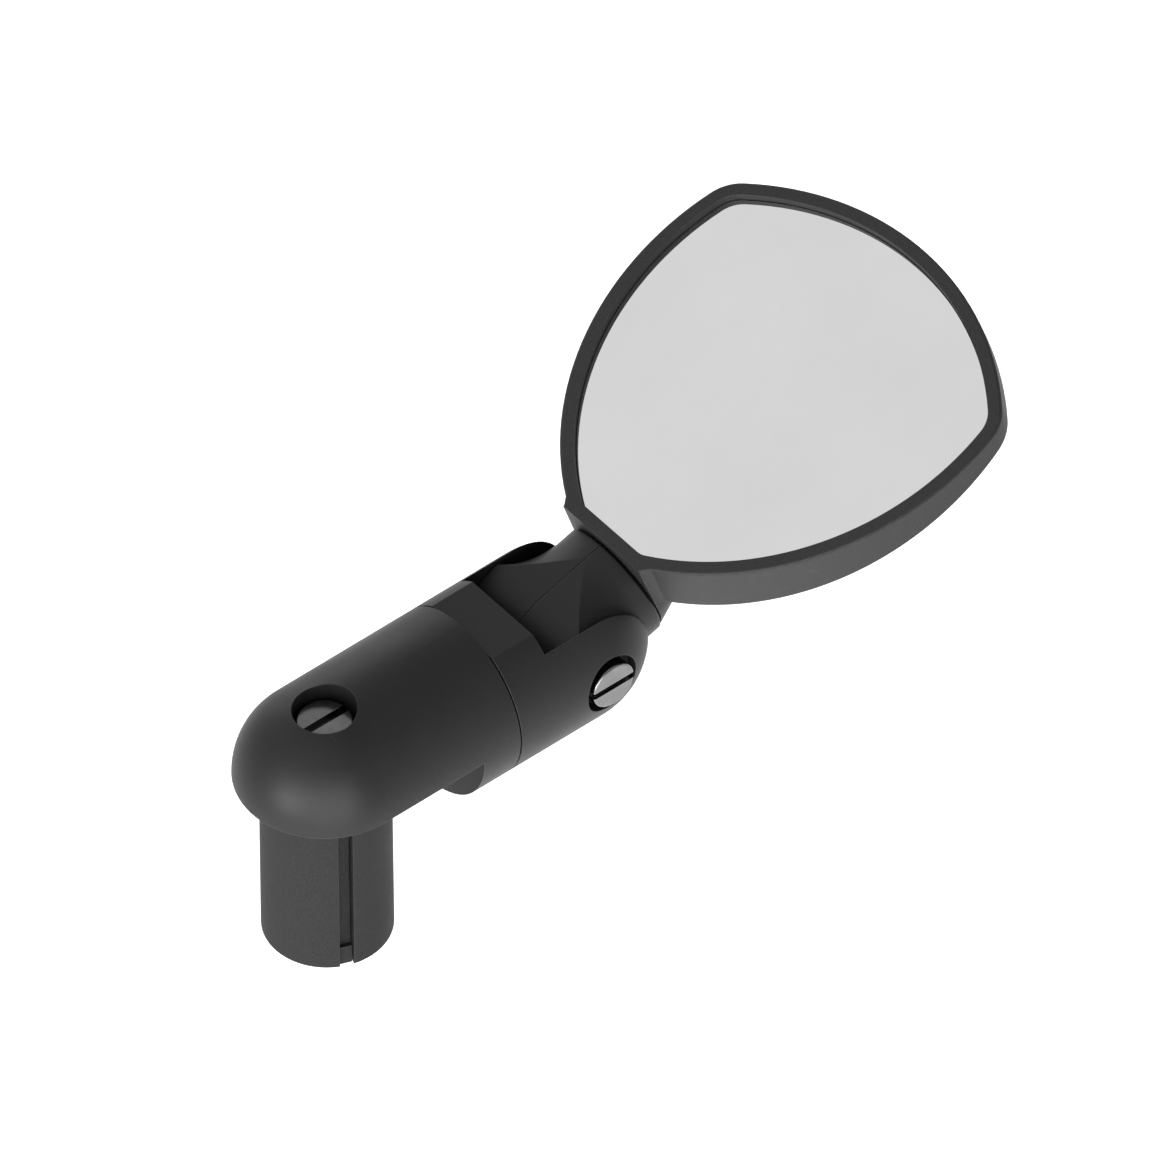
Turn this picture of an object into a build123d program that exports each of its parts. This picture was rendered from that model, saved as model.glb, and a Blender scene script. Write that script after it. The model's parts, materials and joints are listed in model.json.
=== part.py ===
from build123d import *
from math import cos, radians, sin
import os

# Bar-end mirror for a bicycle handlebar, in millimetres.
#
# The expanding plug hangs down from the origin and goes into the bar's open end. The elbow on top
# of it carries a swivel along +X, the swivel's two ears hold a knuckle that tilts, and the knuckle
# grips the stem of the mirror head. The origin is where the plug's axis crosses the arm's axis,
# in the flat seat that meets the end of the bar. +Z is up, and the side towards -Y is the near side.

os.makedirs("parts", exist_ok=True)

# Elbow and arm
ARM_R = 12.5
SEAT_REACH = 17.05
SEAM_X = 23.42
SEAM_GAP = 0.15
SEAM_CHAMFER = 0.15
EDGE = 0.3

# Screw well through the top of the elbow
WELL_R = 4.41
SCREW_SEAT_Z = 5.6
EXPANDER_WASHER = 0.8

# Expanding plug
PLUG_R = 8.87
PLUG_LENGTH = 28.75
PLUG_BORE_R = 6.7
PLUG_MOUTH_R = 7.75
PLUG_MOUTH_HEIGHT = 3.35
PLUG_TAPER_TOP = -20.0
PLUG_WEB = 3.0
SLOT_WIDTH = 2.0
SLOT_ROOT_R = 5.0
WEB_SLOT_ROOT_R = 7.5
SLOT_COUNT = 3
SLOT_ANGLE = 8.0
PEG_R = 1.0
PEG_HEIGHT = 2.0
PEG_RADIUS = 6.6

# Expander cone
CONE_RIM_R = 7.6
CONE_RIM_HEIGHT = 3.1
CONE_LOW_R = 7.35
CONE_TOP_R = 6.35
CONE_CHAMFER = 1.0
CORE_TOP = -4.0
CORE_KEY_R = 7.4
KEY_R = 8.1
KEY_WIDTH = 1.8

# M5 and M4 hardware
M5_R = 2.5
M5_HOLE_R = 2.75
M5_NUT_FLATS = 8.0
M5_NUT_HEIGHT = 4.0
M5_HEAD_R = 3.85
M5_HEAD_HEIGHT = 3.3
M5_SLOT_WIDTH = 1.2
M5_SLOT_DEPTH = 1.5
EXPANDER_SCREW_LENGTH = 38.0
M4_R = 2.0
M4_NUT_FLATS = 7.0
M4_NUT_HEIGHT = 2.2
M4_HEAD_R = 3.45
M4_HEAD_HEIGHT = 2.6
M4_SLOT_WIDTH = 1.0
M4_SLOT_DEPTH = 1.2
PIVOT_SCREW_LENGTH = 22.0
HEAD_ROUND = 0.25
TIP_CHAMFER = 0.5
NUT_CHAMFER = 0.25
NUT_CORNER_CUT = 1.12
THREAD_CLEARANCE = 0.03
RUNNING = 0.05
POCKET_CLEARANCE = 0.1

# Swivel
PIVOT_X = 39.3
CHEEK_X = 30.53
CHEEK_Y = 8.78
FLAT_Z = 10.8
BOLT_HEAD_R = 4.25
BOLT_WELL_R = 4.6
BOLT_WELL_DEPTH = 4.4
BOLT_TIP_X = 18.2
SOCKET_FLATS = 4.0
SOCKET_DEPTH = 2.5
SWIVEL_NUT_X = 18.9
SPRING_WASHER = 0.8
SPRING_SLIT = 0.6
SPRING_SLIT_ANGLE = 25.0
SEAM_WASHER_R = 10.0
SEAM_WASHER_HOLE_R = 4.85
COUNTERBORE_R = 4.4
EAR_NUT_Y = 9.8

# Knuckle
TILT = radians(18.2)
DISC_R = 8.65
DISC_HALF_WIDTH = 8.6
FLARE_R = 12.2
FLARE_MIDDLE = (4.3, 9.5)
FLARE_END = 9.2
COLLAR_R = 8.6
COLLAR_END = 11.45
PARTING_GAP = 0.16
BUSH_R = 3.0
BUSH_LENGTH = 16.2
FRICTION_WASHER_R = 5.9
FRICTION_WASHER = 0.58
FRICTION_RECESS = 0.6
DOWEL_R = 0.9
DOWEL_REACH = 2.0
DOWEL_SPOTS = [(-5.6, 0), (9.4, 6.4), (9.4, -6.4)]

# Stem that turns in the knuckle
FLANGE_R = 6.2
FLANGE_START = 5.05
FLANGE_END = 7.35
STEM_R = 3.4
STEM_GROOVE_R = 2.6
STEM_GROOVE = (9.1, 10.7)
O_RING_R = 0.75
SHANK_R = 3.0
SHANK_LENGTH = 10.0
SHANK_CHAMFER = 0.5

# Mirror head, along the stem (x), across it (y) and above its axis (z)
NECK_FACE = 11.7
RIM_TOP = 9.6
GLASS_TOP = 8.35
GLASS_THICKNESS = 1.2
PAD_THICKNESS = 0.25
PAD_BOTTOM = GLASS_TOP - GLASS_THICKNESS - PAD_THICKNESS
GLASS_CLEARANCE = 0.12
PAD_INSET = 1.0
BASE_X = 13.65
SIDE_ARC_X = 49.5
SIDE_ARC_Y = 11.85
SIDE_ARC_R = 40.08
END_ARC_X = 25.9
END_ARC_R = 42.4
BASE_CORNER_R = 2.5
OUTER_CORNER_R = 4.5
RIM_WIDTH = 1.95
RIM_ROUND = 0.4
SHOULDER = [(NECK_FACE, 7.9), (13.4, 9.3), (18.0, 9.3)]
DOME_R = 197.5
DOME_X = 23.4
DOME_DEPTH = 8.6
WALL = 1.8
LEDGE = 2.4
RIB_WIDTH = 1.6
CROSS_RIBS = (10.0, 24.0)
BOSS_LENGTH = 14.0
BOSS_WIDTH = 12.0
NECK_R = 8.3
NECK_HALF_WIDTH = 7.9
BOSS_END = 36.0
BOSS_END_R = 2.6
BOSS_END_Z = 5.0
BOSS_END_TOP = 6.0

PIVOT = Plane(origin=(PIVOT_X, 0, 0), x_dir=(1, 0, 0), z_dir=(0, -1, 0))
STEM_DIRECTION = Vector(cos(TILT), 0, sin(TILT))
HEAD = Plane(origin=PIVOT.origin, x_dir=STEM_DIRECTION, z_dir=(-sin(TILT), 0, cos(TILT)))
STEM = Plane(origin=PIVOT.origin, x_dir=(0, 1, 0), z_dir=STEM_DIRECTION)
DOWELS = Plane(origin=PIVOT.origin, x_dir=STEM_DIRECTION, z_dir=(0, -1, 0))
ARM = Plane.YZ


def ring(plane, outer_r, inner_r, thickness):
    """A flat washer standing on a plane."""
    with BuildPart() as washer:
        with BuildSketch(plane):
            Circle(outer_r)
            Circle(inner_r, mode=Mode.SUBTRACT)
        extrude(amount=thickness)
    return washer


def hex_nut(plane, flats, height, bore_r):
    """A hexagon nut standing on a plane, with the corners of both faces taken off."""
    with BuildPart() as nut:
        with BuildSketch(plane):
            RegularPolygon(flats / 2, 6, major_radius=False)
        extrude(amount=height)
        with BuildSketch(plane.offset(height / 2)):
            Circle(flats / 2 * NUT_CORNER_CUT)
        extrude(amount=height / 2, both=True, mode=Mode.INTERSECT)
        with BuildSketch(plane):
            Circle(bore_r)
        extrude(amount=height, mode=Mode.SUBTRACT)
        circles = nut.edges().filter_by(GeomType.CIRCLE)
        chamfer(circles.group_by(SortBy.RADIUS)[0], NUT_CHAMFER)
    return nut


def slotted_screw(face, head_r, head_height, shank_r, length, slot_width, slot_depth):
    """A cheese-head screw whose head lies under the plane of its slotted face."""
    with BuildPart() as screw:
        with BuildSketch(face):
            Circle(head_r)
        extrude(amount=-head_height)
        fillet(screw.edges().filter_by(GeomType.CIRCLE).sort_by_distance(face.origin)[0], HEAD_ROUND)
        with BuildSketch(face.offset(-head_height)):
            Circle(shank_r)
        extrude(amount=-length)
        tip_centre = face.offset(-head_height - length).origin
        chamfer(screw.edges().filter_by(GeomType.CIRCLE).sort_by_distance(tip_centre)[0], TIP_CHAMFER)
        with BuildSketch(face):
            Rectangle(3 * head_r, slot_width)
        extrude(amount=-slot_depth, mode=Mode.SUBTRACT)
    return screw


def head_outline(grow):
    """Outline of the glass opening in the head's own plane, grown outward all round."""
    with BuildSketch() as outline:
        with Locations((SIDE_ARC_X, -SIDE_ARC_Y)):
            Circle(SIDE_ARC_R + grow)
        with Locations((SIDE_ARC_X, SIDE_ARC_Y)):
            Circle(SIDE_ARC_R + grow, mode=Mode.INTERSECT)
        with Locations((END_ARC_X, 0)):
            Circle(END_ARC_R + grow, mode=Mode.INTERSECT)
        with Locations((BASE_X - grow, 0)):
            Rectangle(2 * SIDE_ARC_X, 2 * SIDE_ARC_X, align=(Align.MIN, Align.CENTER), mode=Mode.INTERSECT)
        corners = outline.vertices().group_by(Axis.X)
        fillet(corners[-1], OUTER_CORNER_R + grow)
        fillet(outline.vertices().group_by(Axis.X)[0], BASE_CORNER_R)
    return outline.sketch


def neck_section(half_width, top, radius, centre):
    """Tombstone section across the neck: flat on top, round underneath."""
    with BuildSketch() as section:
        with BuildLine():
            Line((-radius, centre), (-half_width, top))
            Line((-half_width, top), (half_width, top))
            Line((half_width, top), (radius, centre))
            ThreePointArc((radius, centre), (0, centre - radius), (-radius, centre))
        make_face()
    return section.sketch


# Elbow: half ball and half round arm on the flat seat, a full round beyond the seat's end
with BuildPart() as elbow_body:
    with BuildSketch(Plane.XZ):
        with BuildLine():
            ThreePointArc((-ARM_R, 0), (-ARM_R * sin(radians(45)), ARM_R * sin(radians(45))), (0, ARM_R))
            Line((0, ARM_R), (SEAM_X - SEAM_CHAMFER, ARM_R))
            Line((SEAM_X - SEAM_CHAMFER, ARM_R), (SEAM_X, ARM_R - SEAM_CHAMFER))
            Line((SEAM_X, ARM_R - SEAM_CHAMFER), (SEAM_X, 0))
            Line((SEAM_X, 0), (-ARM_R, 0))
        make_face()
    revolve(axis=Axis.X)
    with Locations((SEAT_REACH, 0, 0)):
        Box(3 * ARM_R, 3 * ARM_R, 2 * ARM_R, align=(Align.MAX, Align.CENTER, Align.MAX), mode=Mode.SUBTRACT)
    # Screw well over the shoulder that the screw's head pulls on
    with BuildSketch(Plane.XY.offset(SCREW_SEAT_Z)):
        Circle(WELL_R)
    extrude(amount=ARM_R, mode=Mode.SUBTRACT)
    with BuildSketch(Plane.XY):
        Circle(M5_HOLE_R)
    extrude(amount=SCREW_SEAT_Z, mode=Mode.SUBTRACT)
    # Blind holes that stop the plug from turning
    with BuildSketch(Plane.XY):
        with PolarLocations(PEG_RADIUS, 2):
            Circle(PEG_R + RUNNING)
    extrude(amount=PEG_HEIGHT + POCKET_CLEARANCE, mode=Mode.SUBTRACT)
    # Pocket for the swivel's nut, open at the seam, and room for the bolt's tip
    with BuildSketch(ARM.offset(SWIVEL_NUT_X)):
        RegularPolygon(M5_NUT_FLATS / 2 + RUNNING, 6, major_radius=False)
    extrude(amount=SEAM_X - SWIVEL_NUT_X, mode=Mode.SUBTRACT)
    with BuildSketch(ARM.offset(BOLT_TIP_X - POCKET_CLEARANCE)):
        Circle(M5_HOLE_R)
    extrude(amount=SEAM_X - BOLT_TIP_X, mode=Mode.SUBTRACT)
elbow_body.part.label = "elbow_body"
export_step(elbow_body.part, "parts/elbow_body.step")

# Split sleeve that the cone spreads inside the bar
with BuildPart() as plug_sleeve:
    with BuildSketch(Plane.XZ):
        with BuildLine():
            Polyline(
                (M5_HOLE_R, 0),
                (PLUG_R, 0),
                (PLUG_R, EDGE - PLUG_LENGTH),
                (PLUG_R - EDGE, -PLUG_LENGTH),
                (PLUG_MOUTH_R, -PLUG_LENGTH),
                (PLUG_MOUTH_R, PLUG_MOUTH_HEIGHT - PLUG_LENGTH),
                (PLUG_BORE_R, PLUG_TAPER_TOP),
                (PLUG_BORE_R, -PLUG_WEB),
                (M5_HOLE_R, -PLUG_WEB),
                close=True,
            )
        make_face()
    revolve(axis=Axis.Z)
    # Slots through the fingers, shallow where they cross the web
    with BuildSketch(Plane.XY):
        with PolarLocations(WEB_SLOT_ROOT_R, SLOT_COUNT, start_angle=SLOT_ANGLE):
            Rectangle(PLUG_R, SLOT_WIDTH, align=(Align.MIN, Align.CENTER))
    extrude(amount=-PLUG_WEB, mode=Mode.SUBTRACT)
    with BuildSketch(Plane.XY.offset(-PLUG_WEB)):
        with PolarLocations(SLOT_ROOT_R, SLOT_COUNT, start_angle=SLOT_ANGLE):
            Rectangle(PLUG_R, SLOT_WIDTH, align=(Align.MIN, Align.CENTER))
    extrude(amount=PLUG_WEB - PLUG_LENGTH, mode=Mode.SUBTRACT)
    with BuildSketch(Plane.XY):
        with PolarLocations(PEG_RADIUS, 2):
            Circle(PEG_R)
    extrude(amount=PEG_HEIGHT)
plug_sleeve.part.label = "plug_sleeve"
export_step(plug_sleeve.part, "parts/plug_sleeve.step")

# Cone on a tubular core, with keys that run in the sleeve's slots and a hexagon pocket for its nut
with BuildPart() as expander_cone:
    with BuildSketch(Plane.XZ):
        with BuildLine():
            Polyline(
                (M5_HOLE_R, -PLUG_LENGTH),
                (CONE_RIM_R - EDGE, -PLUG_LENGTH),
                (CONE_RIM_R, EDGE - PLUG_LENGTH),
                (CONE_RIM_R, CONE_RIM_HEIGHT - PLUG_LENGTH),
                (CONE_LOW_R, CONE_RIM_HEIGHT - PLUG_LENGTH),
                (CONE_TOP_R, PLUG_TAPER_TOP),
                (CONE_TOP_R, CORE_TOP - CONE_CHAMFER),
                (CONE_TOP_R - CONE_CHAMFER, CORE_TOP),
                (M5_HOLE_R, CORE_TOP),
                close=True,
            )
        make_face()
    revolve(axis=Axis.Z)
    for key_r, key_top in [(KEY_R, CONE_RIM_HEIGHT - PLUG_LENGTH), (CORE_KEY_R, CORE_TOP - CONE_CHAMFER)]:
        with BuildSketch(Plane.XY.offset(-PLUG_LENGTH)):
            with PolarLocations(SLOT_ROOT_R, SLOT_COUNT, start_angle=SLOT_ANGLE):
                Rectangle(key_r - SLOT_ROOT_R, KEY_WIDTH, align=(Align.MIN, Align.CENTER))
        extrude(amount=key_top + PLUG_LENGTH)
    with BuildSketch(Plane.XY.offset(-PLUG_LENGTH)):
        RegularPolygon(M5_NUT_FLATS / 2 + RUNNING, 6, major_radius=False)
    extrude(amount=M5_NUT_HEIGHT + POCKET_CLEARANCE, mode=Mode.SUBTRACT)
expander_cone.part.label = "expander_cone"
export_step(expander_cone.part, "parts/expander_cone.step")

expander_nut = hex_nut(
    Plane.XY.offset(POCKET_CLEARANCE - PLUG_LENGTH), M5_NUT_FLATS, M5_NUT_HEIGHT, M5_R + THREAD_CLEARANCE
)
expander_nut.part.label = "expander_nut"
export_step(expander_nut.part, "parts/expander_nut.step")

expander_washer = ring(Plane.XY.offset(SCREW_SEAT_Z), M5_HEAD_R, M5_HOLE_R, EXPANDER_WASHER)
expander_washer.part.label = "expander_washer"
export_step(expander_washer.part, "parts/expander_washer.step")

expander_screw = slotted_screw(
    Plane.XY.offset(SCREW_SEAT_Z + EXPANDER_WASHER + M5_HEAD_HEIGHT),
    M5_HEAD_R,
    M5_HEAD_HEIGHT,
    M5_R,
    EXPANDER_SCREW_LENGTH,
    M5_SLOT_WIDTH,
    M5_SLOT_DEPTH,
)
expander_screw.part.label = "expander_screw"
export_step(expander_screw.part, "parts/expander_screw.step")

# Swivel: round arm with a flat above and below and a ball end, split into two ears
with BuildPart() as swivel_body:
    with BuildSketch(Plane.XZ):
        with BuildLine():
            start_x = SEAM_X + SEAM_GAP
            ball = (PIVOT_X + ARM_R * cos(radians(45)), ARM_R * sin(radians(45)))
            Polyline((PIVOT_X + ARM_R, 0), (start_x, 0), (start_x, ARM_R), (PIVOT_X, ARM_R))
            ThreePointArc((PIVOT_X, ARM_R), ball, (PIVOT_X + ARM_R, 0))
        make_face()
    revolve(axis=Axis.X)
    with Locations((PIVOT_X, 0, 0)):
        Box(4 * ARM_R, 2 * ARM_R, 2 * FLAT_Z, mode=Mode.INTERSECT)
    with Locations((CHEEK_X, 0, 0)):
        Box(
            2 * ARM_R,
            2 * CHEEK_Y,
            2 * ARM_R,
            align=(Align.MIN, Align.CENTER, Align.CENTER),
            mode=Mode.SUBTRACT,
        )
    # Bolt along the arm, its head sunk in the bottom of the gap between the ears
    with BuildSketch(ARM.offset(SEAM_X)):
        Circle(M5_R + RUNNING)
    extrude(amount=CHEEK_X - SEAM_X, mode=Mode.SUBTRACT)
    with BuildSketch(ARM.offset(CHEEK_X)):
        Circle(BOLT_WELL_R)
    extrude(amount=-BOLT_WELL_DEPTH, mode=Mode.SUBTRACT)
    # Pivot hole through both ears, counterbored for the head, with a hexagon pocket for the nut
    with BuildSketch(PIVOT):
        Circle(M4_R + RUNNING)
    extrude(amount=ARM_R, both=True, mode=Mode.SUBTRACT)
    with BuildSketch(PIVOT.offset(ARM_R - M4_HEAD_HEIGHT)):
        Circle(COUNTERBORE_R)
    extrude(amount=2 * M4_HEAD_HEIGHT, mode=Mode.SUBTRACT)
    with BuildSketch(PIVOT.offset(-EAR_NUT_Y)):
        RegularPolygon(M4_NUT_FLATS / 2 + RUNNING, 6, major_radius=False)
    extrude(amount=-ARM_R, mode=Mode.SUBTRACT)
swivel_body.part.label = "swivel_body"
export_step(swivel_body.part, "parts/swivel_body.step")

# Bolt that the swivel turns on, with a hexagon socket in its head
bolt_seat = ARM.offset(CHEEK_X - BOLT_WELL_DEPTH + SPRING_WASHER)
with BuildPart() as swivel_bolt:
    with BuildSketch(bolt_seat):
        Circle(BOLT_HEAD_R)
    extrude(amount=M5_HEAD_HEIGHT)
    fillet(swivel_bolt.edges().sort_by(Axis.X)[-1], EDGE)
    with BuildSketch(bolt_seat):
        Circle(M5_R)
    extrude(amount=BOLT_TIP_X - bolt_seat.origin.X)
    chamfer(swivel_bolt.edges().sort_by(Axis.X)[0], TIP_CHAMFER)
    with BuildSketch(bolt_seat.offset(M5_HEAD_HEIGHT)):
        RegularPolygon(SOCKET_FLATS / 2, 6, major_radius=False)
    extrude(amount=-SOCKET_DEPTH, mode=Mode.SUBTRACT)
swivel_bolt.part.label = "swivel_bolt"
export_step(swivel_bolt.part, "parts/swivel_bolt.step")

with BuildPart() as swivel_spring_washer:
    with BuildSketch(bolt_seat.offset(-SPRING_WASHER)):
        Circle(BOLT_HEAD_R)
        Circle(M5_R + 2 * POCKET_CLEARANCE, mode=Mode.SUBTRACT)
        with Locations(Location((0, 0), SPRING_SLIT_ANGLE)):
            Rectangle(2 * BOLT_HEAD_R, SPRING_SLIT, align=(Align.MIN, Align.CENTER), mode=Mode.SUBTRACT)
    extrude(amount=SPRING_WASHER)
swivel_spring_washer.part.label = "swivel_spring_washer"
export_step(swivel_spring_washer.part, "parts/swivel_spring_washer.step")

swivel_nut = hex_nut(ARM.offset(SWIVEL_NUT_X), M5_NUT_FLATS, M5_NUT_HEIGHT, M5_R + THREAD_CLEARANCE)
swivel_nut.part.label = "swivel_nut"
export_step(swivel_nut.part, "parts/swivel_nut.step")

seam_washer = ring(ARM.offset(SEAM_X), SEAM_WASHER_R, SEAM_WASHER_HOLE_R, SEAM_GAP)
seam_washer.part.label = "seam_washer"
export_step(seam_washer.part, "parts/seam_washer.step")

pivot_screw = slotted_screw(
    PIVOT.offset(ARM_R),
    M4_HEAD_R,
    M4_HEAD_HEIGHT,
    M4_R,
    PIVOT_SCREW_LENGTH,
    M4_SLOT_WIDTH,
    M4_SLOT_DEPTH,
)
pivot_screw.part.label = "pivot_screw"
export_step(pivot_screw.part, "parts/pivot_screw.step")

pivot_nut = hex_nut(
    PIVOT.offset(-EAR_NUT_Y - M4_NUT_HEIGHT), M4_NUT_FLATS, M4_NUT_HEIGHT, M4_R + THREAD_CLEARANCE
)
pivot_nut.part.label = "pivot_nut"
export_step(pivot_nut.part, "parts/pivot_nut.step")

pivot_bush = ring(PIVOT.offset(-BUSH_LENGTH / 2), BUSH_R, M4_R + RUNNING, BUSH_LENGTH)
pivot_bush.part.label = "pivot_bush"
export_step(pivot_bush.part, "parts/pivot_bush.step")


# Front of the knuckle: square at the pivot, drawn in by a concave flare to a round collar
with BuildPart() as knuckle_front:
    with BuildSketch(HEAD):
        with BuildLine():
            Line((0, 0), (0, FLARE_R))
            ThreePointArc((0, FLARE_R), FLARE_MIDDLE, (FLARE_END, COLLAR_R))
            Polyline(
                (FLARE_END, COLLAR_R),
                (COLLAR_END - EDGE, COLLAR_R),
                (COLLAR_END, COLLAR_R - EDGE),
                (COLLAR_END, 0),
                (0, 0),
            )
        make_face()
    revolve(axis=Axis(HEAD.origin, HEAD.x_dir))
    with BuildSketch(STEM):
        Rectangle(2 * DISC_HALF_WIDTH, 2 * DISC_R)
    extrude(amount=COLLAR_END, mode=Mode.INTERSECT)


def knuckle_half(side):
    """One half of the knuckle, side -1 near and +1 far, without its dowels."""
    with BuildPart() as half:
        with BuildSketch(DOWELS):
            Circle(DISC_R)
            Rectangle(2 * DISC_R, 2 * DISC_R, align=(Align.MAX, Align.CENTER), mode=Mode.INTERSECT)
        extrude(amount=DISC_HALF_WIDTH, both=True)
        add(knuckle_front.part)
        # Bore for the bush, and a recess for the friction washer
        with BuildSketch(PIVOT):
            Circle(BUSH_R + THREAD_CLEARANCE)
        extrude(amount=DISC_HALF_WIDTH, both=True, mode=Mode.SUBTRACT)
        with BuildSketch(PIVOT.offset(-side * (CHEEK_Y - FRICTION_RECESS))):
            Circle(FRICTION_WASHER_R + POCKET_CLEARANCE)
        extrude(amount=-side * FRICTION_RECESS, mode=Mode.SUBTRACT)
        # Stepped cavity for the stem's flange, shaft and ring
        with BuildSketch(HEAD):
            with BuildLine():
                Polyline(
                    (FLANGE_START - RUNNING, 0),
                    (FLANGE_START - RUNNING, FLANGE_R + POCKET_CLEARANCE),
                    (FLANGE_END + RUNNING, FLANGE_R + POCKET_CLEARANCE),
                    (FLANGE_END + RUNNING, STEM_R + RUNNING),
                    (STEM_GROOVE[0], STEM_R + RUNNING),
                    (STEM_GROOVE[0], STEM_GROOVE_R + 2 * O_RING_R + RUNNING),
                    (STEM_GROOVE[1], STEM_GROOVE_R + 2 * O_RING_R + RUNNING),
                    (STEM_GROOVE[1], STEM_R + RUNNING),
                    (COLLAR_END, STEM_R + RUNNING),
                    (COLLAR_END, 0),
                    close=True,
                )
            make_face()
        revolve(axis=Axis(HEAD.origin, HEAD.x_dir), mode=Mode.SUBTRACT)
        parting = Plane(origin=(PIVOT_X, side * PARTING_GAP / 2, 0), x_dir=(1, 0, 0), z_dir=(0, side, 0))
        split(bisect_by=parting, keep=Keep.TOP)
    return half


# The near half carries three dowels that enter the far half
with BuildPart() as knuckle_near_half:
    add(knuckle_half(-1).part)
    with BuildSketch(DOWELS.offset(DOWEL_REACH)):
        with Locations(*DOWEL_SPOTS):
            Circle(DOWEL_R)
    extrude(amount=-2 * DOWEL_REACH)
knuckle_near_half.part.label = "knuckle_near_half"
export_step(knuckle_near_half.part, "parts/knuckle_near_half.step")

with BuildPart() as knuckle_far_half:
    add(knuckle_half(1).part)
    with BuildSketch(DOWELS):
        with Locations(*DOWEL_SPOTS):
            Circle(DOWEL_R + RUNNING)
    extrude(amount=-DOWEL_REACH - POCKET_CLEARANCE, mode=Mode.SUBTRACT)
knuckle_far_half.part.label = "knuckle_far_half"
export_step(knuckle_far_half.part, "parts/knuckle_far_half.step")

near_friction_washer = ring(
    PIVOT.offset(CHEEK_Y - FRICTION_RECESS), FRICTION_WASHER_R, M4_R + RUNNING, FRICTION_WASHER
)
near_friction_washer.part.label = "near_friction_washer"
export_step(near_friction_washer.part, "parts/near_friction_washer.step")

far_friction_washer = ring(
    PIVOT.offset(FRICTION_RECESS - CHEEK_Y - FRICTION_WASHER), FRICTION_WASHER_R, M4_R + RUNNING, FRICTION_WASHER
)
far_friction_washer.part.label = "far_friction_washer"
export_step(far_friction_washer.part, "parts/far_friction_washer.step")

# Turned stem: flange held by the knuckle, groove for a ring, shank pressed into the housing
with BuildPart() as stem:
    with BuildSketch(HEAD):
        with BuildLine():
            Polyline(
                (FLANGE_START, 0),
                (FLANGE_START, FLANGE_R),
                (FLANGE_END, FLANGE_R),
                (FLANGE_END, STEM_R),
                (STEM_GROOVE[0], STEM_R),
                (STEM_GROOVE[0], STEM_GROOVE_R),
                (STEM_GROOVE[1], STEM_GROOVE_R),
                (STEM_GROOVE[1], STEM_R),
                (NECK_FACE, STEM_R),
                (NECK_FACE, SHANK_R),
                (NECK_FACE + SHANK_LENGTH - SHANK_CHAMFER, SHANK_R),
                (NECK_FACE + SHANK_LENGTH, SHANK_R - SHANK_CHAMFER),
                (NECK_FACE + SHANK_LENGTH, 0),
                close=True,
            )
        make_face()
    revolve(axis=Axis(HEAD.origin, HEAD.x_dir))
stem.part.label = "stem"
export_step(stem.part, "parts/stem.step")

with BuildPart() as stem_o_ring:
    with Locations(STEM.offset((STEM_GROOVE[0] + STEM_GROOVE[1]) / 2)):
        Torus(STEM_GROOVE_R + O_RING_R, O_RING_R)
stem_o_ring.part.label = "stem_o_ring"
export_step(stem_o_ring.part, "parts/stem_o_ring.step")

# Weight-saving hollow behind the glass, with one long rib, two cross ribs and the stem's boss left in
with BuildPart(HEAD) as hollow:
    with BuildSketch(HEAD):
        add(head_outline(-LEDGE))
    extrude(amount=PAD_BOTTOM)
    with Locations((DOME_X, 0, RIM_TOP - DOME_DEPTH + DOME_R)):
        Sphere(DOME_R - WALL, mode=Mode.INTERSECT)
    with Locations((BASE_X, 0, 0)):
        for length, width in [(2 * END_ARC_R, RIB_WIDTH), (BOSS_LENGTH, BOSS_WIDTH)]:
            Box(
                length,
                width,
                2 * RIM_TOP,
                align=(Align.MIN, Align.CENTER, Align.CENTER),
                mode=Mode.SUBTRACT,
            )
    with Locations(*[(DOME_X + offset, 0, 0) for offset in CROSS_RIBS]):
        Box(RIB_WIDTH, 2 * SIDE_ARC_R, 2 * RIM_TOP, mode=Mode.SUBTRACT)

# Housing: rim and side wall, shallow domed back, and a boss that runs down into the neck
with BuildPart(HEAD) as mirror_housing:
    with BuildSketch(HEAD.offset(RIM_TOP)):
        add(head_outline(RIM_WIDTH))
        with BuildLine():
            Polyline(*SHOULDER, *[(x, -y) for x, y in reversed(SHOULDER)], close=True)
        make_face()
    extrude(amount=-RIM_TOP)
    rim_face = mirror_housing.faces().sort_by(Axis(HEAD.origin, HEAD.z_dir))[-1]
    fillet(rim_face.outer_wire().edges(), RIM_ROUND)
    with Locations((DOME_X, 0, RIM_TOP - DOME_DEPTH + DOME_R)):
        Sphere(DOME_R, mode=Mode.INTERSECT)
    with BuildSketch(STEM.offset(NECK_FACE)):
        add(neck_section(NECK_HALF_WIDTH, RIM_TOP, NECK_R, 0))
    with BuildSketch(STEM.offset(BOSS_END)):
        add(neck_section(BOSS_END_R, BOSS_END_TOP, BOSS_END_R, BOSS_END_Z))
    loft()
    # Recess for the glass and its pad, then the hollow under it and the hole for the stem's shank
    with BuildSketch(HEAD.offset(PAD_BOTTOM)):
        add(head_outline(0))
    extrude(amount=RIM_TOP, mode=Mode.SUBTRACT)
    add(hollow.part, mode=Mode.SUBTRACT)
    with BuildSketch(STEM.offset(NECK_FACE)):
        Circle(SHANK_R)
    extrude(amount=SHANK_LENGTH + POCKET_CLEARANCE, mode=Mode.SUBTRACT)
mirror_housing.part.label = "mirror_housing"
export_step(mirror_housing.part, "parts/mirror_housing.step")

with BuildPart(HEAD) as mirror_glass:
    with BuildSketch(HEAD.offset(GLASS_TOP - GLASS_THICKNESS)):
        add(head_outline(-GLASS_CLEARANCE))
    extrude(amount=GLASS_THICKNESS)
mirror_glass.part.label = "mirror_glass"
export_step(mirror_glass.part, "parts/mirror_glass.step")

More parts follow.
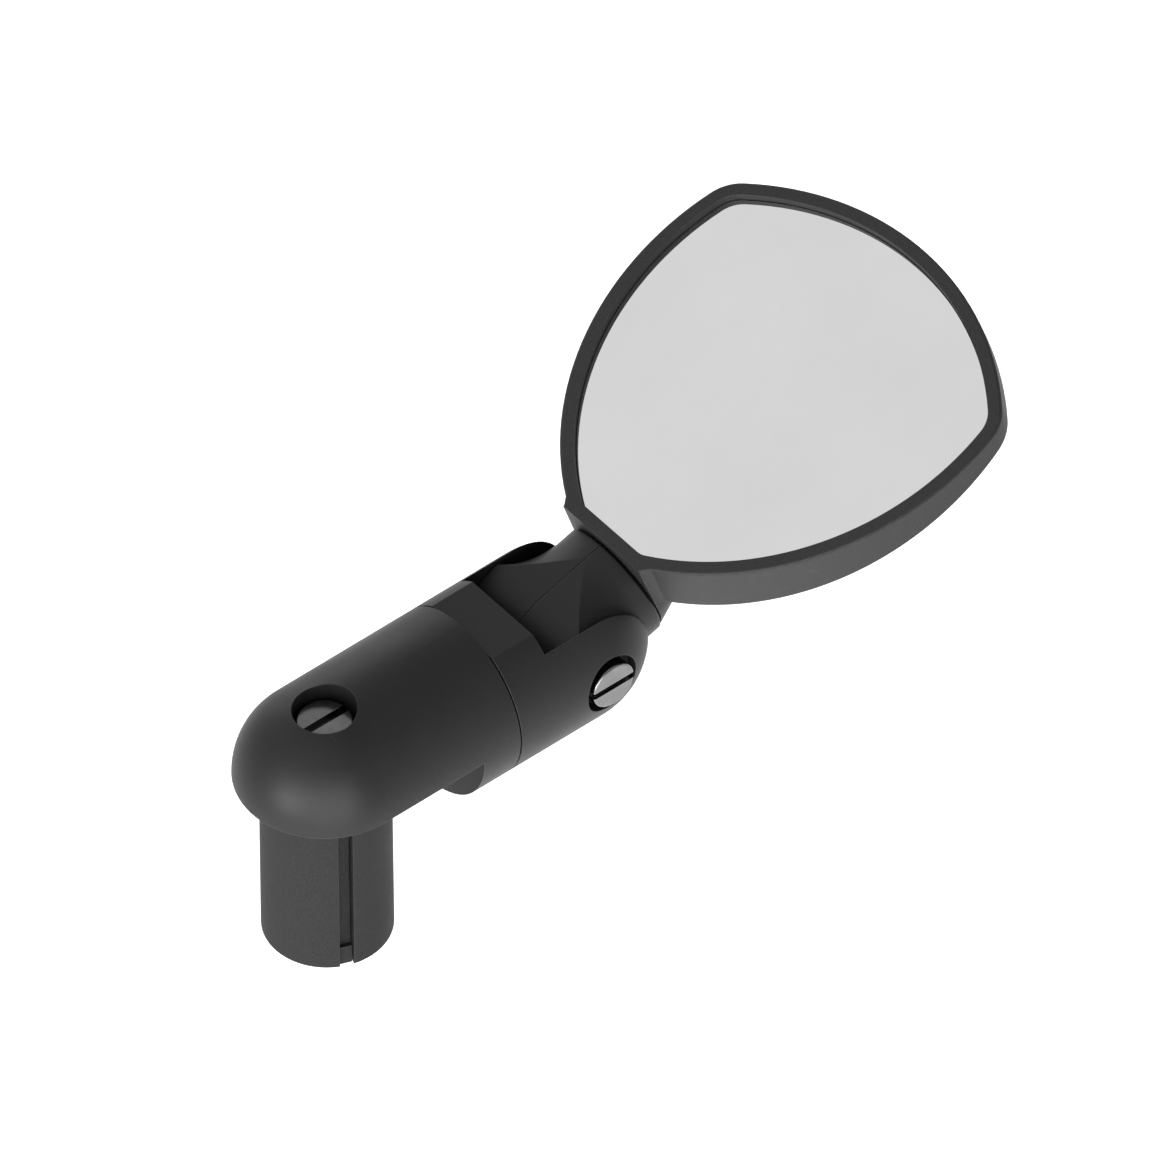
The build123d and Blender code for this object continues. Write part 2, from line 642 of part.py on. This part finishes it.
with BuildPart(HEAD) as adhesive_pad:
    with BuildSketch(HEAD.offset(PAD_BOTTOM)):
        add(head_outline(-PAD_INSET))
    extrude(amount=PAD_THICKNESS)
adhesive_pad.part.label = "adhesive_pad"
export_step(adhesive_pad.part, "parts/adhesive_pad.step")
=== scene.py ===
import json
import math

import bpy
from mathutils import Matrix, Vector


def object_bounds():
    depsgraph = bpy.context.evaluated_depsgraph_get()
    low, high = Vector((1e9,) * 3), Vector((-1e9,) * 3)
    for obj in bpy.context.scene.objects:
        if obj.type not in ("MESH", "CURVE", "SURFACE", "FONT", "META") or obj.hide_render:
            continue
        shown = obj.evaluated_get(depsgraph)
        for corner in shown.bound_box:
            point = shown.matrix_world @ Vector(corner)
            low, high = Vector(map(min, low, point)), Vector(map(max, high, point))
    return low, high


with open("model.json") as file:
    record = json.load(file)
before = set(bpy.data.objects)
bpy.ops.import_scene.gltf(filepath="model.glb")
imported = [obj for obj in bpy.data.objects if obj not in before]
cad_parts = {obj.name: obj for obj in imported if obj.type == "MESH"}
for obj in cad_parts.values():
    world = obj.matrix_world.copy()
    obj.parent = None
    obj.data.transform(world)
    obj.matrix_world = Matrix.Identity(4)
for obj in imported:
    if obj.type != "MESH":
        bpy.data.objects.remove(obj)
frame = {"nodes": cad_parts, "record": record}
cad_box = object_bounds()
nodes = frame["nodes"]

MM = 0.001

# The camera's right and up, the direction from the object towards it, and the square it takes in
VIEW_RIGHT = Vector((0.7735, -0.6337, -0.0107))
VIEW_UP = Vector((0.4629, 0.5532, 0.6926))
VIEW_BACK = Vector((-0.4330, -0.5407, 0.7213))
VIEW_CENTRE = Vector((37.63, -6.53, 17.69)) * MM
VIEW_SPAN = 152.44 * MM
CAMERA_DISTANCE = 0.6
CLIP_START = 0.01
CLIP_END = 20.0


# Shader building blocks: bevel sampling, and the normal dot product range that counts as an edge
BEVEL_SAMPLES = 6
EDGE_FLAT_DOT = 0.995
EDGE_SHARP_DOT = 0.85

# Noise sizes, in periods per metre
CLOUD = 90.0
SCUFF = 420.0
METAL_FILM = 500.0
METAL_SPECK = 2600.0
GLASS_FILM = 60.0
GLASS_DUST = 3200.0
FOAM_CELLS = 2500.0
RUBBER_BLOOM = 900.0
PAPER_GRAIN = 300.0


def new_material(name):
    material = bpy.data.materials.new(name)
    material.use_nodes = True
    tree = material.node_tree
    tree.nodes.clear()
    shader = tree.nodes.new("ShaderNodeBsdfPrincipled")
    output = tree.nodes.new("ShaderNodeOutputMaterial")
    tree.links.new(shader.outputs["BSDF"], output.inputs["Surface"])
    return material, tree, shader


def position(tree):
    """Object coordinates, which are metres in the row frame."""
    return tree.nodes.new("ShaderNodeTexCoord").outputs["Object"]


def noise(tree, per_metre, detail=3.0, roughness=0.55, stretch=(1, 1, 1)):
    mapping = tree.nodes.new("ShaderNodeMapping")
    mapping.inputs["Scale"].default_value = [per_metre * s for s in stretch]
    tree.links.new(position(tree), mapping.inputs["Vector"])
    texture = tree.nodes.new("ShaderNodeTexNoise")
    texture.inputs["Scale"].default_value = 1.0
    texture.inputs["Detail"].default_value = detail
    texture.inputs["Roughness"].default_value = roughness
    tree.links.new(mapping.outputs["Vector"], texture.inputs["Vector"])
    return texture.outputs["Fac"]


def spread(tree, value, low, high, out_low=0.0, out_high=1.0):
    """Maps low..high of a value to out_low..out_high, clamped."""
    node = tree.nodes.new("ShaderNodeMapRange")
    node.inputs["From Min"].default_value = low
    node.inputs["From Max"].default_value = high
    node.inputs["To Min"].default_value = out_low
    node.inputs["To Max"].default_value = out_high
    tree.links.new(value, node.inputs["Value"])
    return node.outputs["Result"]


def mix_colour(tree, amount, first, second):
    node = tree.nodes.new("ShaderNodeMix")
    node.data_type = "RGBA"
    for socket, value in ((node.inputs[0], amount), (node.inputs[6], first), (node.inputs[7], second)):
        if isinstance(value, bpy.types.NodeSocket):
            tree.links.new(value, socket)
        elif hasattr(socket.default_value, "__len__"):
            socket.default_value = (*value, 1.0)
        else:
            socket.default_value = value
    return node.outputs[2]


def maths(tree, operation, first, second):
    node = tree.nodes.new("ShaderNodeMath")
    node.operation = operation
    for socket, value in zip(node.inputs, (first, second)):
        if isinstance(value, bpy.types.NodeSocket):
            tree.links.new(value, socket)
        else:
            socket.default_value = value
    return node.outputs[0]


def edge_mask(tree, radius):
    """0 on flat ground, rising to 1 where a convex or concave edge is nearer than the radius."""
    bevel = tree.nodes.new("ShaderNodeBevel")
    bevel.samples = BEVEL_SAMPLES
    bevel.inputs["Radius"].default_value = radius
    geometry = tree.nodes.new("ShaderNodeNewGeometry")
    dot = tree.nodes.new("ShaderNodeVectorMath")
    dot.operation = "DOT_PRODUCT"
    tree.links.new(bevel.outputs["Normal"], dot.inputs[0])
    tree.links.new(geometry.outputs["Normal"], dot.inputs[1])
    return spread(tree, dot.outputs["Value"], EDGE_FLAT_DOT, EDGE_SHARP_DOT)


def bump_chain(tree, shader, heights, round_edges=0.0):
    """Stacks bump maps given as (height socket, distance in metres, strength)."""
    normal = None
    if round_edges:
        bevel = tree.nodes.new("ShaderNodeBevel")
        bevel.samples = BEVEL_SAMPLES
        bevel.inputs["Radius"].default_value = round_edges
        normal = bevel.outputs["Normal"]
    for height, distance, strength in heights:
        bump = tree.nodes.new("ShaderNodeBump")
        bump.inputs["Distance"].default_value = distance
        bump.inputs["Strength"].default_value = strength
        tree.links.new(height, bump.inputs["Height"])
        if normal is not None:
            tree.links.new(normal, bump.inputs["Normal"])
        normal = bump.outputs["Normal"]
    if normal is not None:
        tree.links.new(normal, shader.inputs["Normal"])


# Tones, in linear light
BLACK = (0.0078, 0.0078, 0.0080)
PLUG_GREY = (0.0140, 0.0140, 0.0142)
HOUSING_GREY = (0.0160, 0.0160, 0.0162)
WASHER_GREY = (0.03, 0.03, 0.03)
WORN = (0.075, 0.075, 0.075)
ZINC = (0.21, 0.21, 0.212)
STEEL = (0.5, 0.5, 0.505)
BRASS = (0.72, 0.53, 0.24)

# Width of the worn line along an edge, and depth of the slow sink marks in moulded faces
WEAR_WIDTH = 0.22 * MM
SINK_DEPTH = 0.02 * MM


def moulded_plastic(name, tone, rough, grain_size, grain_depth, edge_round, specular, grain_contrast):
    """Moulded plastic: fine spark-eroded grain, slow gloss changes, faint scuffs, paler worn edges."""
    material, tree, shader = new_material(name)
    grain = noise(tree, 1 / grain_size, detail=2.0, roughness=0.6)
    cloud = noise(tree, CLOUD, detail=4.0)
    scuff = noise(tree, SCUFF, detail=5.0, roughness=0.7, stretch=(1.0, 0.25, 0.6))
    scuffs = spread(tree, scuff, 0.64, 0.74)
    patches = spread(tree, cloud, 0.35, 0.65)
    base = mix_colour(tree, patches, [c * 0.94 for c in tone], [c * 1.08 for c in tone])
    pale_grain = maths(tree, "MULTIPLY", spread(tree, grain, 0.35, 0.65), grain_contrast)
    base = mix_colour(tree, pale_grain, base, [c * 2.0 for c in tone])
    base = mix_colour(tree, maths(tree, "MULTIPLY", scuffs, 0.18), base, WORN)
    uneven_wear = spread(tree, cloud, 0.3, 0.7, 0.15, 0.55)
    edge = maths(tree, "MULTIPLY", edge_mask(tree, WEAR_WIDTH), uneven_wear)
    base = mix_colour(tree, edge, base, WORN)
    tree.links.new(base, shader.inputs["Base Color"])
    slow_gloss = spread(tree, cloud, 0.3, 0.7, rough - 0.03, rough + 0.04)
    gloss = maths(tree, "ADD", slow_gloss, spread(tree, grain, 0.3, 0.7, -0.03, 0.04))
    gloss = maths(tree, "SUBTRACT", gloss, maths(tree, "MULTIPLY", edge, 0.12))
    tree.links.new(gloss, shader.inputs["Roughness"])
    shader.inputs["Specular IOR Level"].default_value = specular
    bump_chain(tree, shader, [(grain, grain_depth, 1.0), (cloud, SINK_DEPTH, 0.25)], edge_round)
    return material


def brushed_metal(name, tone, rough, stretch, line_size, line_depth, edge_round):
    """Plated or turned metal with fine tool lines, a faint dull film and brighter edges."""
    material, tree, shader = new_material(name)
    lines = noise(tree, 1 / line_size, detail=3.0, roughness=0.65, stretch=stretch)
    film = noise(tree, METAL_FILM, detail=4.0)
    speck = spread(tree, noise(tree, METAL_SPECK, detail=2.0), 0.62, 0.72)
    base = mix_colour(tree, spread(tree, film, 0.35, 0.65), [c * 0.86 for c in tone], tone)
    base = mix_colour(tree, maths(tree, "MULTIPLY", speck, 0.3), base, [c * 0.6 for c in tone])
    tree.links.new(base, shader.inputs["Base Color"])
    slow_gloss = spread(tree, film, 0.3, 0.7, rough - 0.04, rough + 0.06)
    gloss = maths(tree, "ADD", slow_gloss, spread(tree, lines, 0.3, 0.7, -0.05, 0.05))
    tree.links.new(gloss, shader.inputs["Roughness"])
    shader.inputs["Metallic"].default_value = 1.0
    bump_chain(tree, shader, [(lines, line_depth, 0.8)], edge_round)
    return material


def mirror_face(name):
    """Silvered glass under a faint film and a few specks of dust."""
    material, tree, shader = new_material(name)
    film = noise(tree, GLASS_FILM, detail=5.0, roughness=0.6)
    dust = spread(tree, noise(tree, GLASS_DUST, detail=1.0), 0.72, 0.78)
    base = mix_colour(tree, spread(tree, film, 0.3, 0.7), (0.80, 0.80, 0.805), (0.83, 0.83, 0.835))
    base = mix_colour(tree, maths(tree, "MULTIPLY", dust, 0.10), base, (0.6, 0.6, 0.6))
    tree.links.new(base, shader.inputs["Base Color"])
    dull_specks = maths(tree, "MULTIPLY", dust, 0.1)
    gloss = maths(tree, "ADD", spread(tree, film, 0.35, 0.7, 0.015, 0.05), dull_specks)
    tree.links.new(gloss, shader.inputs["Roughness"])
    shader.inputs["Metallic"].default_value = 1.0
    return material


def foam_tape(name):
    """Open-celled white foam."""
    material, tree, shader = new_material(name)
    cells = noise(tree, FOAM_CELLS, detail=2.0)
    base = mix_colour(tree, cells, (0.66, 0.65, 0.60), (0.80, 0.79, 0.75))
    tree.links.new(base, shader.inputs["Base Color"])
    shader.inputs["Roughness"].default_value = 0.8
    bump_chain(tree, shader, [(cells, 0.05 * MM, 0.7)])
    return material


def ring_rubber(name):
    """Soft black rubber with a faint bloom."""
    material, tree, shader = new_material(name)
    bloom = noise(tree, RUBBER_BLOOM, detail=4.0)
    base = mix_colour(tree, bloom, (0.012, 0.012, 0.012), (0.03, 0.03, 0.029))
    tree.links.new(base, shader.inputs["Base Color"])
    tree.links.new(spread(tree, bloom, 0.3, 0.7, 0.55, 0.72), shader.inputs["Roughness"])
    bump_chain(tree, shader, [(bloom, 0.01 * MM, 0.6)])
    return material


black_plastic = moulded_plastic(
    "black_moulded_nylon", BLACK, 0.48, 0.16 * MM, 0.006 * MM, 0.16 * MM, specular=0.3, grain_contrast=0.2
)
plug_plastic = moulded_plastic(
    "grey_grained_nylon", PLUG_GREY, 0.62, 0.22 * MM, 0.05 * MM, 0.12 * MM, specular=0.12, grain_contrast=0.6
)
housing_plastic = moulded_plastic(
    "grey_grained_housing",
    HOUSING_GREY,
    0.50,
    0.20 * MM,
    0.05 * MM,
    0.16 * MM,
    specular=0.25,
    grain_contrast=0.6,
)
washer_nylon = moulded_plastic(
    "dull_washer_nylon", WASHER_GREY, 0.62, 0.2 * MM, 0.01 * MM, 0.05 * MM, specular=0.5, grain_contrast=0.2
)
face = mirror_face("silvered_glass")
zinc = brushed_metal("zinc_plated_steel", ZINC, 0.16, (1.0, 1.0, 1.0), 0.12 * MM, 0.004 * MM, 0.12 * MM)
turned = brushed_metal("turned_steel", STEEL, 0.30, (6.0, 0.6, 2.0), 0.3 * MM, 0.004 * MM, 0.08 * MM)
brass = brushed_metal("drawn_brass", BRASS, 0.32, (1.0, 0.1, 1.0), 0.15 * MM, 0.003 * MM, 0.08 * MM)
foam = foam_tape("foam_tape")
rubber = ring_rubber("ring_rubber")

FINISHES = {
    "black_plastic": black_plastic,
    "plug_plastic": plug_plastic,
    "housing_plastic": housing_plastic,
    "mirror_face": face,
    "zinc_steel": zinc,
    "turned_steel": turned,
    "bush_brass": brass,
    "nylon": washer_nylon,
    "ring_rubber": rubber,
    "pad_foam": foam,
}

for subpart in frame["record"]["subparts"]:
    node = nodes[subpart["node"]]
    node.data.materials.clear()
    node.data.materials.append(FINISHES[subpart["material_slot"]])

# Pale floor, well under the part
FLOOR_DROP = 0.30
FLOOR_SIZE = 6.0
FLOOR_X = 0.04
FLOOR_GLOW = 0.55
bpy.ops.mesh.primitive_plane_add(size=FLOOR_SIZE, location=(FLOOR_X, 0, cad_box[0].z - FLOOR_DROP))
floor = bpy.context.object
floor.name = "floor"
floor_material, tree, shader = new_material("pale_floor")
paper = noise(tree, PAPER_GRAIN, detail=2.0)
tree.links.new(mix_colour(tree, paper, (0.90, 0.90, 0.90), (0.93, 0.93, 0.93)), shader.inputs["Base Color"])
shader.inputs["Roughness"].default_value = 0.9
shader.inputs["Specular IOR Level"].default_value = 0.0
shader.inputs["Emission Color"].default_value = (1, 1, 1, 1)
shader.inputs["Emission Strength"].default_value = FLOOR_GLOW
floor.data.materials.append(floor_material)

# Soft studio surroundings, brightest towards one side of the sky
SKY_DIRECTION = Vector((-0.6, 0.4, 0.7)).normalized()
SKY_DIM = 0.42
SKY_BRIGHT = 0.835
world = bpy.data.worlds.new("studio")
bpy.context.scene.world = world
world.use_nodes = True
tree = world.node_tree
tree.nodes.clear()
direction = tree.nodes.new("ShaderNodeTexCoord").outputs["Generated"]
toward = tree.nodes.new("ShaderNodeVectorMath")
toward.operation = "DOT_PRODUCT"
toward.inputs[1].default_value = SKY_DIRECTION
tree.links.new(direction, toward.inputs[0])
glow = spread(tree, toward.outputs["Value"], 0.1, 0.9, SKY_DIM, SKY_BRIGHT)
background = tree.nodes.new("ShaderNodeBackground")
background.inputs["Color"].default_value = (1, 1, 1, 1)
tree.links.new(glow, background.inputs["Strength"])
world_out = tree.nodes.new("ShaderNodeOutputWorld")
tree.links.new(background.outputs["Background"], world_out.inputs["Surface"])

SUBJECT = Vector((0.045, 0.0, 0.01))


def softbox(name, direction, distance, width, height, watts):
    """A rectangular area light, at a distance in a direction from the part and turned to face it."""
    light = bpy.data.lights.new(name, "AREA")
    light.shape = "RECTANGLE"
    light.size = width
    light.size_y = height
    light.energy = watts
    lamp = bpy.data.objects.new(name, light)
    bpy.context.scene.collection.objects.link(lamp)
    lamp.location = SUBJECT + Vector(direction).normalized() * distance
    lamp.rotation_euler = (SUBJECT - lamp.location).to_track_quat("-Z", "Y").to_euler()
    return lamp


softbox("left_softbox", (-1.0, -0.16, 0.02), 0.5, 0.25, 0.2, 1.7)
softbox("front_softbox", (-0.55, -0.83, 0.05), 0.7, 0.7, 0.5, 5.5)
softbox("right_softbox", (1.0, -0.5, 0.25), 0.6, 0.5, 0.4, 0.4)
softbox("back_softbox", (0.3, 1.0, 0.35), 0.8, 0.6, 0.5, 1.4)

camera = bpy.data.cameras.new("camera")
camera.type = "ORTHO"
camera.ortho_scale = VIEW_SPAN
camera.clip_start = CLIP_START
camera.clip_end = CLIP_END
camera_object = bpy.data.objects.new("camera", camera)
bpy.context.scene.collection.objects.link(camera_object)
turn = Matrix((VIEW_RIGHT, VIEW_UP, VIEW_BACK)).transposed()
place = Matrix.Translation(VIEW_CENTRE + VIEW_BACK * CAMERA_DISTANCE)
camera_object.matrix_world = place @ turn.to_4x4()
bpy.context.scene.camera = camera_object
bpy.context.scene.view_settings.view_transform = "Standard"
